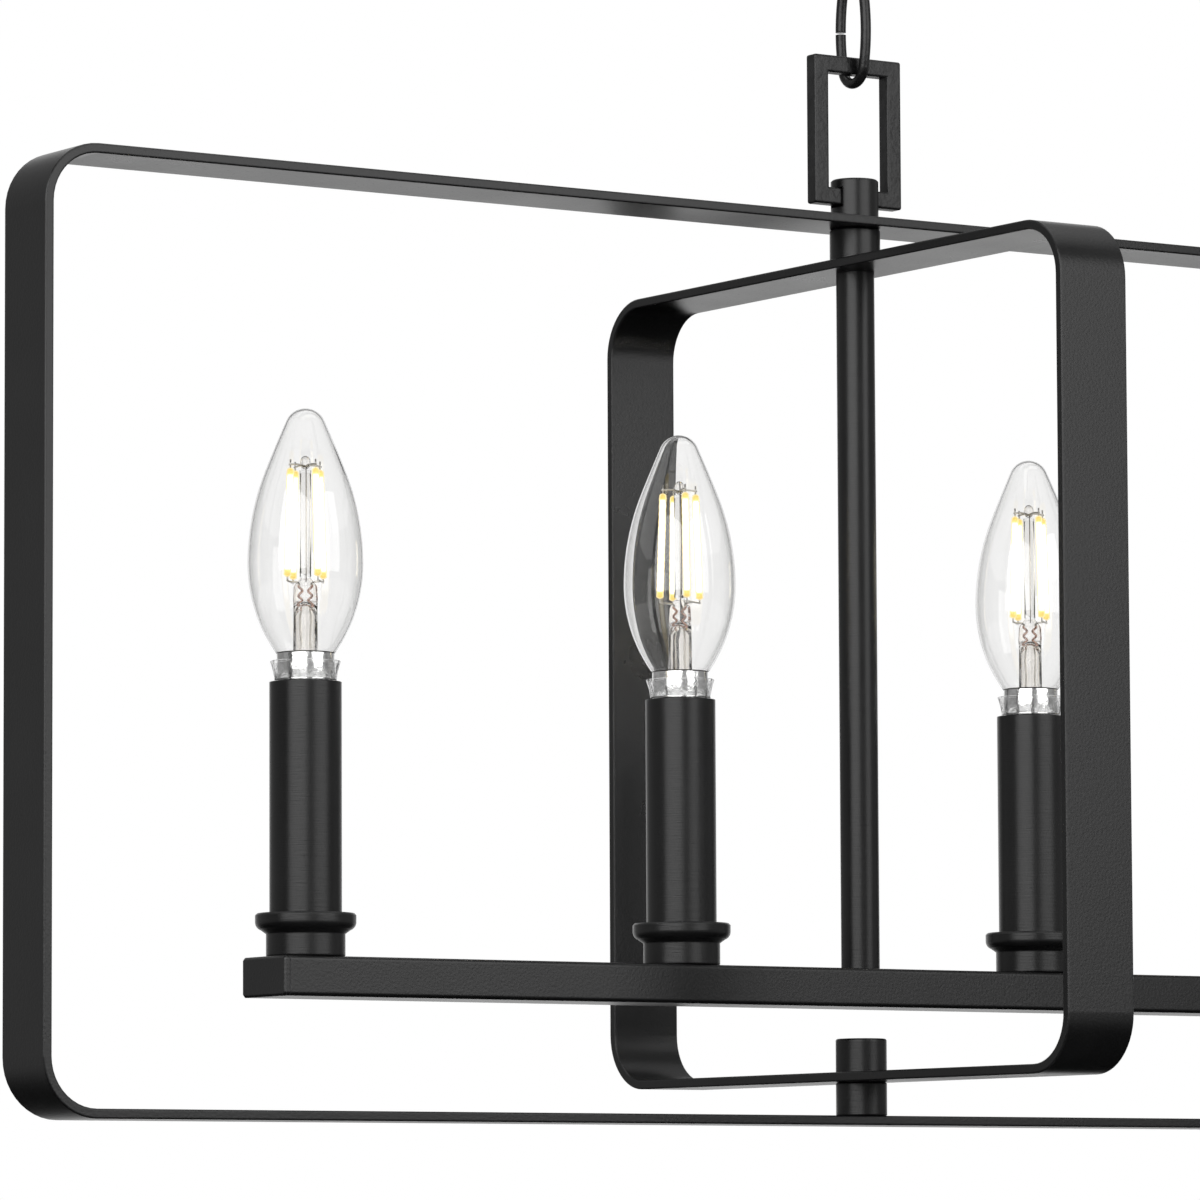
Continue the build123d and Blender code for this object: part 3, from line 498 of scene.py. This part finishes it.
def smoothPath(corners, steps=8):
    # A curve through the given points: each span blends its ends and their slopes by cubic Hermite weights.
    knots = np.asarray(corners, dtype=float)
    slope = np.gradient(knots, axis=0)
    t = np.linspace(0, 1, steps, endpoint=False)[None, :, None]
    a, b, leaving, arriving = knots[:-1, None], knots[1:, None], slope[:-1, None], slope[1:, None]
    curve = ((2 * t**3 - 3 * t**2 + 1) * a + (t**3 - 2 * t**2 + t) * leaving
             + (3 * t**2 - 2 * t**3) * b + (t**3 - t**2) * arriving)
    return np.concatenate((curve.reshape(-1, 3), knots[-1:]))


tubePlan = {"steep": 0.7, "levelArrow": (0.31, 0.95, 0.0), "upArrow": (0.0, 0.0, 1.0)}


def tube(path, radius, sides):
    # Rings of the given radius square to the path, drawn in to a point at both ends. A steep path starts its
    # rings from a level arrow, and any other path from the upright one.
    path = np.asarray(path, dtype=float)
    heading = np.gradient(path, axis=0)
    heading /= np.linalg.norm(heading, axis=1)[:, None]
    steep = np.abs(heading[:, 2]).mean() > tubePlan["steep"]
    across = np.cross(heading, tubePlan["levelArrow"] if steep else tubePlan["upArrow"])
    across /= np.linalg.norm(across, axis=1)[:, None]
    upward = np.cross(heading, across)
    angle = np.linspace(0, 2 * np.pi, sides, endpoint=False)[None, :, None]
    reach = np.broadcast_to(radius, (len(path),))[:, None, None]
    rings = path[:, None] + reach * (np.cos(angle) * across[:, None] + np.sin(angle) * upward[:, None])
    start, end = (np.repeat(tip[:, None], sides, axis=1) for tip in (path[:1], path[-1:]))
    return np.concatenate((start, rings, end))


# A node whose name starts as in the second list has its own finish, and every other one that of its slot.
slotMaterial = {
    "black_paint": frameBlack, "zinc_steel": zincSteel, "socket_moulding": socketMoulding,
    "brass_parts": brassMetal, "ground_green": groundGreen, "cable_sheath": cableBlack,
    "clear_glass": bulbClear, "polished_base": basePolish, "lit_filament": filamentGlow,
}
ownMaterial = {
    "hanging_loop": castBlack, "chain_link": linkBlack, "candle_sleeve": sleeveBlack,
    "candle_cup": sleeveBlack, "loop_collar": sleeveBlack, "stem_tube": sleeveBlack, "lower_cap": sleeveBlack,
    "upper_spacer": sleeveBlack, "lower_spacer": sleeveBlack,
}
for part in frame["record"]["subparts"]:
    own = [material for start, material in ownMaterial.items() if part["node"].startswith(start)]
    materials = nodes[part["node"]].data.materials
    materials.clear()
    materials.append(own[0] if own else slotMaterial[part["material_slot"]])
print("carried-over nodes dressed")

# Bulbs: sizes in millimetres, heights above the sleeve's mouth.
millimetre = 0.001
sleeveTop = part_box("candle_sleeve_1")[1].z
# Degrees that each bulb's square of filaments is turned in its socket.
bulbTurns = (3.4, -14.6, -1.6, -24.0)
squareTurns = np.radians((0, 90, 180, 270))
bulbPlan = {
    "tip": 84.5, "neckZ": 8.95, "neckR": 9.1, "bellyZ": 36.5, "bellyR": 17.8, "shoulderZ": 65.3,
    "shoulderR": 12.3, "crownZ": 80.64, "crownR": 5.9, "wall": 0.55, "tubeR": 8.25, "tubeFoot": 4.0,
    "outsideLap": 0.02, "insideLap": 0.3, "segments": 144,
}


def placed(rings, centreX, turn=0.0):
    # Turned round the bulb's own axis, brought to metres and set on the sleeve's mouth.
    c, s = math.cos(math.radians(turn)), math.sin(math.radians(turn))
    x, y, z = rings[..., 0], rings[..., 1], rings[..., 2]
    shifted = np.stack((x * c - y * s, x * s + y * c, z), axis=-1) * millimetre
    return shifted + np.array((centreX, 0, sleeveTop))


def bulbContour(plan):
    # Four arcs that run into each other: tip, breast, belly and neck, given as radius and height.
    tip, crown = (0, plan["tip"]), (plan["crownR"], plan["crownZ"])
    shoulder = (plan["shoulderR"], plan["shoulderZ"])
    belly, neck = (plan["bellyR"], plan["bellyZ"]), (plan["neckR"], plan["neckZ"])
    dome, heading = tangentArc(tip, (1, 0), crown, 16)
    breast, _ = tangentArc(crown, heading, shoulder, 14)
    upper, _ = tangentArc(belly, (0, 1), shoulder, 24)
    lower, _ = tangentArc(belly, (0, -1), neck, 28)
    return np.concatenate((dome, breast[1:], upper[::-1][1:], lower[1:]))


def insideOf(contour, wall):
    # Each point moved square to the contour by the wall, towards the axis.
    run = np.gradient(contour, axis=0)
    run /= np.linalg.norm(run, axis=1)[:, None]
    moved = contour + wall * np.stack((run[:, 1], -run[:, 0]), axis=-1)
    moved[0] = (0, contour[0, 1] - wall)
    return moved


def glassSkin(centreX):
    plan = bulbPlan
    outer = bulbContour(plan)
    inner = insideOf(outer, plan["wall"])
    tubeInside = plan["tubeR"] - plan["wall"]
    collarOut = ((plan["tubeR"], plan["neckZ"] + plan["outsideLap"]), (plan["tubeR"], plan["tubeFoot"]))
    collarIn = ((tubeInside, plan["tubeFoot"]), (tubeInside, plan["neckZ"] + plan["insideLap"]))
    profile = np.concatenate((outer, collarOut, collarIn, inner[::-1]))
    return surface(placed(turned(profile, plan["segments"]), centreX), bulbClear)


ringPlan = {"foot": (9.05, 0.5), "bow": (9.35, 3.4), "lip": (10.35, 6.2), "wall": 0.5, "lipR": 0.28}


def ringSkin(centreX):
    # A flaring wall from foot to lip, drawn towards the bow by quadratic weights, and a round lip over it.
    plan = ringPlan
    rise = np.linspace(0, 1, 14)[:, None]
    foot, bow, lip = (np.array(plan[key]) for key in ("foot", "bow", "lip"))
    inner = (1 - rise) ** 2 * foot + 2 * rise * (1 - rise) * bow + rise**2 * lip
    over = np.linspace(np.pi, 0, 9)[1:-1]
    crest = lip + (plan["wall"] / 2, 0.0) + plan["lipR"] * np.stack((np.cos(over), np.sin(over)), axis=-1)
    outer = inner[::-1] + (plan["wall"], 0.0)
    return surface(placed(turned(np.concatenate((inner, crest, outer))), centreX), ringClear, loop=True)


basePlan = {
    "skirtR": 8.9, "skirtTop": 8.9, "skirtWall": 0.6, "floor": 4.0, "rollR": 0.3,
    "cone": ((5.6, -3.6), (6.1, -3.45), (8.0, -2.35), (8.65, -1.9), (8.9, -1.4)),
    "shellR": 5.6, "shellTop": -3.6, "shellFoot": -12.2, "threadPitch": 2.54, "threadDeep": 0.25,
    "threadFade": 0.8, "insulator": ((5.6, -12.2), (4.9, -13.1), (3.0, -15.2), (2.1, -15.4)),
    "contactR": 2.1, "contactTop": -15.4, "contactFoot": -17.95,
    "seamR": 8.75, "seamThick": 0.22, "seamRise": 0.6,
}


def threadRings(plan):
    # The rolled thread: its radius waves with the height in pitches less the turn, and fades at both ends.
    height = np.linspace(plan["shellTop"], plan["shellFoot"], 90)[:, None]
    angle = np.linspace(0, 2 * np.pi, 72, endpoint=False)[None, :]
    wave = np.cos(2 * np.pi * height / plan["threadPitch"] - angle)
    nearEnd = np.minimum(plan["shellTop"] - height, height - plan["shellFoot"])
    radius = plan["shellR"] + plan["threadDeep"] * wave * np.clip(nearEnd / plan["threadFade"], 0, 1)
    return np.stack((radius * np.cos(angle), radius * np.sin(angle), height + 0 * angle), axis=-1)


def baseSkins(centreX):
    # The dark seam at the glass, the skirt with its rolled lip, the thread, the insulator and the contact.
    plan = basePlan
    bead = np.linspace(0, 2 * np.pi, 12, endpoint=False)
    seam = np.stack((plan["seamR"] + plan["seamThick"] * np.cos(bead),
                     plan["skirtTop"] + plan["seamThick"] * (plan["seamRise"] + np.sin(bead))), axis=-1)
    roll = np.linspace(0, np.pi, 8)
    lip = np.stack((plan["skirtR"] - plan["rollR"] + plan["rollR"] * np.cos(roll),
                    plan["skirtTop"] - plan["rollR"] + plan["rollR"] * np.sin(roll)), axis=-1)
    inside = ((plan["skirtR"] - plan["skirtWall"], plan["floor"]), (0, plan["floor"]))
    skirt = np.concatenate((plan["cone"], lip, inside))
    dome = np.linspace(0, np.pi / 2, 8)
    high = plan["contactTop"] - plan["contactFoot"]
    contact = np.stack((plan["contactR"] * np.cos(dome), plan["contactTop"] - high * np.sin(dome)), axis=-1)
    return (
        surface(placed(turned(seam), centreX), socketMoulding, loop=True),
        surface(placed(turned(skirt), centreX), basePolish),
        surface(placed(threadRings(plan), centreX), basePolish),
        surface(placed(turned(np.array(plan["insulator"]), 48), centreX), socketMoulding),
        surface(placed(turned(contact, 32), centreX), zincSteel),
    )


stemPlan = {
    # Height, half width and half depth: the flare, the tube, the flat press and the foot of the rod.
    "sections": ((4.1, 6.4, 6.4), (5.4, 4.9, 4.9), (8.0, 3.8, 3.8), (22.5, 3.686, 3.572), (25.0, 3.9, 1.3),
                 (29.5, 3.627, 1.235), (32.0, 1.75, 1.75)),
    "soft": (0.25, 0.5, 0.25), "pressTurn": -45,
    "bore": ((5.7, 4.1), (4.2, 5.4), (3.1, 8.0), (3.1, 20.5), (2.3, 22.6), (0.9, 23.5), (0, 23.7)),
    "rod": ((0, 65.2), (1.75, 65.2), (1.75, 32.5), (0, 32.5)),
    "rodInside": ((0, 64.6), (1.53, 64.2), (1.53, 34.0), (0, 33.0)),
    "beadR": 1.6, "beadHigh": 2.1, "beadZ": 67.6,
}


def stemSkins(centreX, turn):
    # Oval rings whose half width and half depth run between the sections, a bore, a hollow rod and its bead.
    plan = stemPlan
    keys = np.array(plan["sections"])
    spans = [np.linspace(a, b, 7, endpoint=False) for a, b in zip(keys[:-1, 0], keys[1:, 0])]
    level = np.concatenate(spans + [keys[-1:, 0]])
    wide, deep = (np.interp(level, keys[:, 0], keys[:, column]) for column in (1, 2))
    for half in (wide, deep):
        half[1:-1] = np.convolve(half, plan["soft"], "valid")
    angle = np.linspace(0, 2 * np.pi, 48, endpoint=False)
    outer = np.stack((wide[:, None] * np.cos(angle), deep[:, None] * np.sin(angle),
                      level[:, None] + 0 * angle), axis=-1)
    inner = turned(np.array(plan["bore"]), 48)
    lid = np.repeat(np.array((0, 0, level[-1]))[None, None], 48, axis=1)
    polar = np.linspace(-np.pi / 2, np.pi / 2, 15)
    bead = np.stack((plan["beadR"] * np.cos(polar), plan["beadZ"] + plan["beadHigh"] * np.sin(polar)), axis=-1)
    pieces = (
        (np.concatenate((inner[::-1], outer, lid)), mountClear), (turned(bead, 32), mountClear),
        (turned(np.array(plan["rod"]), 32), rodClear), (turned(np.array(plan["rodInside"]), 32), rodClear),
    )
    pressTurn = turn + plan["pressTurn"]
    return [surface(placed(rings, centreX, pressTurn), material) for rings, material in pieces]


filamentPlan = {
    "low": 32.1, "high": 65.7, "lowR": 6.7, "highR": 5.5, "thick": 1.25, "knobDeep": 0.04, "knobs": 14,
    "taper": 30, "endThick": 0.55,
}


def filamentSkins(centreX, turn):
    # Four rods, each a little nearer the axis at the top than at the foot, with a faintly knobbly coating.
    plan = filamentPlan
    t = np.linspace(0, 1, 60)
    knob = 1 + plan["knobDeep"] * np.sin(2 * np.pi * plan["knobs"] * t)
    thick = plan["thick"] * knob * np.clip(np.minimum(t, 1 - t) * plan["taper"] + plan["endThick"], 0, 1)
    reach = plan["lowR"] + (plan["highR"] - plan["lowR"]) * t
    level = plan["low"] + (plan["high"] - plan["low"]) * t
    paths = [np.stack((reach * math.cos(q), reach * math.sin(q), level), axis=-1) for q in squareTurns]
    return [surface(placed(tube(path, thick, 20), centreX, turn), filamentGlow) for path in paths]


wirePlan = {
    "radius": 0.26, "spiderZ": 66.7, "spiderRise": 0.25, "armFrom": 0.2, "armMiddle": 3, "armPast": 0.5,
    "tickDrop": 0.6, "tickTop": 68.3, "chordZ": 31.0, "pegLap": 0.5, "leadOut": 4.8, "leadShare": 1.1,
    "curlShare": 1.5, "curlX": 1.45, "curlWide": 0.55, "curlDeep": 0.35, "curlTurns": 2.3, "curlFoot": 22.8,
    "curlHigh": 7.0, "below": ((1.9, 0.2, 4.6), (1.5, 0.1, 12), (1.7, -0.2, 19)),
    "above": ((1.8, 0, 30.4), (3.2, 0, 30.9)),
    "lineR": 0.16, "line": ((0.25, 0, 31.0), (0.25, 0, 50.0), (0.25, 0, 66.6)),
}


def spiderWires(plan, rods):
    # For each rod an arm from the bead, an upright tick through the rod's top and a peg under its foot.
    wires = []
    for q in squareTurns:
        out, up = np.array((math.cos(q), math.sin(q), 0)), np.array((0, 0, 1))
        wires.append(smoothPath([out * plan["armFrom"] + up * plan["spiderZ"],
                                 out * plan["armMiddle"] + up * (plan["spiderZ"] + plan["spiderRise"]),
                                 out * (rods["highR"] + plan["armPast"]) + up * plan["spiderZ"]]))
        tickLevels = (rods["high"] - plan["tickDrop"], plan["spiderZ"], plan["tickTop"])
        wires.append([out * rods["highR"] + up * level for level in tickLevels])
        pegLevels = (plan["chordZ"], rods["low"] + plan["pegLap"])
        wires.append([out * rods["lowR"] + up * level for level in pegLevels])
    return wires


def leadWires(plan, rods, side):
    # One lead: up the tube, through the press as sine and cosine of its height, and out to its chord.
    t = np.linspace(0, 1, 40)
    curl = 2 * np.pi * plan["curlTurns"] * t
    inPress = np.stack((side * (plan["curlX"] + plan["curlWide"] * np.sin(curl)),
                        plan["curlDeep"] * np.cos(curl), plan["curlFoot"] + plan["curlHigh"] * t), axis=-1)
    mirror = np.array((side, 1, 1))
    corner = mirror * (plan["leadOut"], 0, plan["chordZ"])
    half = np.array((0, rods["lowR"] * math.sin(math.pi / 4), 0))
    below = smoothPath([*(mirror * plan["below"]), inPress[0]])
    above = smoothPath([inPress[-1], *(mirror * plan["above"]), corner])
    return below, inPress, above, (corner - half, corner, corner + half)


def wireSkins(centreX, turn):
    # The cross of wires under the bead, the two leads with their chords, and the fine line up the rod.
    plan, pressTurn = wirePlan, turn + stemPlan["pressTurn"]
    skins = [surface(placed(tube(wire, plan["radius"], 8), centreX, turn), nickelWire)
             for wire in spiderWires(plan, filamentPlan)]
    plain, thick = plan["radius"] * plan["leadShare"], plan["radius"] * plan["curlShare"]
    for side in (-1, 1):
        finishes = ((plain, nickelWire), (thick, leadWire), (plain, nickelWire), (plain, nickelWire))
        for wire, (radius, material) in zip(leadWires(plan, filamentPlan, side), finishes):
            skins.append(surface(placed(tube(wire, radius, 8), centreX, pressTurn), material))
    skins.append(surface(placed(tube(plan["line"], plan["lineR"], 6), centreX, turn), nickelWire))
    return skins


lightX = [sum(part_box(f"candle_sleeve_{n}")[k].x for k in (0, 1)) / 2 for n in range(1, 5)]
for number, (x, turn) in enumerate(zip(lightX, bulbTurns), start=1):
    body = f"bulb_{number}"
    glass, rods = [glassSkin(x), ringSkin(x)], filamentSkins(x, turn)
    makePiece(f"torpedoGlass{number}", glass, body, "clear_glass", f"bulb_glass_{number}")
    makePiece(f"screwBase{number}", baseSkins(x), body, "polished_base", f"bulb_base_{number}")
    makePiece(f"stemGlass{number}", stemSkins(x, turn), body, "clear_glass", f"bulb_mount_{number}")
    makePiece(f"filamentRods{number}", rods, body, "lit_filament", f"bulb_filaments_{number}")
    makePiece(f"leadWires{number}", wireSkins(x, turn), body, "polished_base")
print("bulbs made")

# Soft boxes: turned about the object from the camera's side towards its right, in degrees; sizes in metres.
lampPlan = {
    "leftBox": {"turn": -25, "rise": 0.75, "away": 2.4, "size": (2.7, 1.7), "radiance": 2.6},
    "rightBox": {"turn": 49, "rise": 0.72, "away": 2.4, "size": (2.1, 1.7), "radiance": 1.85},
    "topBox": {"turn": 0, "rise": 1.2, "away": 0, "size": (1.6, 1.2), "radiance": 0.9},
}
objectMiddle = Vector((0, 0, -0.366))
toCamera = Vector((-ahead.x, -ahead.y, 0)).normalized()
sideways = Vector((right.x, right.y, 0)).normalized()


def softBox(name, plan):
    width, height = plan["size"]
    turn = math.radians(plan["turn"])
    out = toCamera * math.cos(turn) + sideways * math.sin(turn)
    place = objectMiddle + out * plan["away"] + Vector((0, 0, plan["rise"]))
    data = bpy.data.lights.new(name, "AREA")
    data.shape = "RECTANGLE"
    data.size, data.size_y = width, height
    data.energy = plan["radiance"] * math.pi * width * height
    lamp = bpy.data.objects.new(name, data)
    lamp.location = place
    lamp.rotation_mode = "QUATERNION"
    lamp.rotation_quaternion = (objectMiddle - place).to_track_quat("-Z", "Y")
    scene.collection.objects.link(lamp)


for name, plan in lampPlan.items():
    softBox(name, plan)
print("soft boxes hung")

floorPlan = {"drop": 0.9, "size": 16.0, "tone": (0.9, 0.9, 0.9, 1), "roughness": 0.9, "fadeSpan": (1.9, 5.5)}


def floorMaterial(plan):
    # Pale near the object, fading into the white backdrop far from it, and clear when seen from underneath.
    material, tree, shader, out = newTree("paleFloor")
    feed(tree, plan["tone"], shader.inputs["Base Color"])
    feed(tree, plan["roughness"], shader.inputs["Roughness"])
    place = addNode(tree, "ShaderNodeTexCoord", -900, -300)
    reach = addNode(tree, "ShaderNodeVectorMath", -650, -300, operation="LENGTH")
    feed(tree, place.outputs["Object"], reach.inputs[0])
    fade = mapRange(tree, (-400, -300), reach.outputs["Value"], plan["fadeSpan"], smooth=True)
    white = addNode(tree, "ShaderNodeEmission", 100, -300)
    under = addNode(tree, "ShaderNodeNewGeometry", 200, 300)
    clear = addNode(tree, "ShaderNodeBsdfTransparent", 450, -300)
    faded = mixShader(tree, (450, -100), fade, shader.outputs[0], white.outputs[0])
    whole = mixShader(tree, (650, 0), under.outputs["Backfacing"], faded, clear.outputs[0])
    feed(tree, whole, out.inputs["Surface"])
    return material


def makeFloor(plan):
    half = plan["size"] / 2
    level = cadBox[0][2] - plan["drop"]
    corners = [(-half, -half, level), (half, -half, level), (half, half, level), (-half, half, level)]
    mesh = bpy.data.meshes.new("paleFloorPlane")
    mesh.from_pydata(corners, [], [(0, 1, 2, 3)])
    mesh.materials.append(floorMaterial(plan))
    floor = bpy.data.objects.new("paleFloorPlane", mesh)
    scene.collection.objects.link(floor)
    floor.visible_glossy = False


makeFloor(floorPlan)
print("floor laid")

worldPlan = {
    "fill": 0.75, "mirrorNear": 0.27, "mirrorFar": 1.0, "farSpan": (0.78, 0.96),
    "mirrorLow": 0.02, "lowSpan": (-0.1, -0.45), "unreflected": 0.5,
}


def backdrop(tree, place, strength):
    node = addNode(tree, "ShaderNodeBackground", *place)
    feed(tree, (1, 1, 1, 1), node.inputs["Color"])
    feed(tree, strength, node.inputs["Strength"])
    return node.outputs[0]


def makeWorld(plan):
    world = bpy.data.worlds.new("studioWorld")
    scene.world = world
    world.use_nodes = True
    tree = world.node_tree
    tree.nodes.clear()
    out = addNode(tree, "ShaderNodeOutputWorld", 900, 0)
    # What paint and metal mirror: dim at the sides, darker below, and white behind the object.
    where = addNode(tree, "ShaderNodeTexCoord", -900, 0).outputs["Generated"]
    behind = addNode(tree, "ShaderNodeVectorMath", -600, 0, operation="DOT_PRODUCT")
    feed(tree, (-toCamera.x, -toCamera.y, 0), behind.inputs[1])
    feed(tree, where, behind.inputs[0])
    mirrorTones = (plan["mirrorNear"], plan["mirrorFar"])
    across = mapRange(tree, (-350, 0), behind.outputs["Value"], plan["farSpan"], mirrorTones, smooth=True)
    split = addNode(tree, "ShaderNodeSeparateXYZ", -600, -300)
    feed(tree, where, split.inputs[0])
    lowTones = (1.0, plan["mirrorLow"])
    below = mapRange(tree, (-350, -300), split.outputs["Z"], plan["lowSpan"], lowTones, smooth=True)
    mirrored = calc(tree, (-120, -100), "MULTIPLY", across, below)
    # The camera sees white, also straight through glass. A ray that metal or the inside of a glass wall has
    # turned back sees what paint and metal mirror, also when it leaves through glass.
    rays = addNode(tree, "ShaderNodeLightPath", -350, 400).outputs
    straight = calc(tree, (-100, 600), "LESS_THAN", rays["Glossy Depth"], plan["unreflected"])
    through = calc(tree, (100, 500), "MULTIPLY", rays["Is Transmission Ray"], straight)
    clear = calc(tree, (300, 400), "MAXIMUM", rays["Is Camera Ray"], through)
    turnedBack = calc(tree, (100, 300), "MAXIMUM", rays["Is Glossy Ray"], rays["Is Transmission Ray"])
    fill = backdrop(tree, (100, -200), plan["fill"])
    studio = backdrop(tree, (100, 0), mirrored)
    white = backdrop(tree, (100, 200), 1.0)
    lit = mixShader(tree, (400, -100), turnedBack, fill, studio)
    feed(tree, mixShader(tree, (650, 0), clear, lit, white), out.inputs["Surface"])


makeWorld(worldPlan)
print("world made")
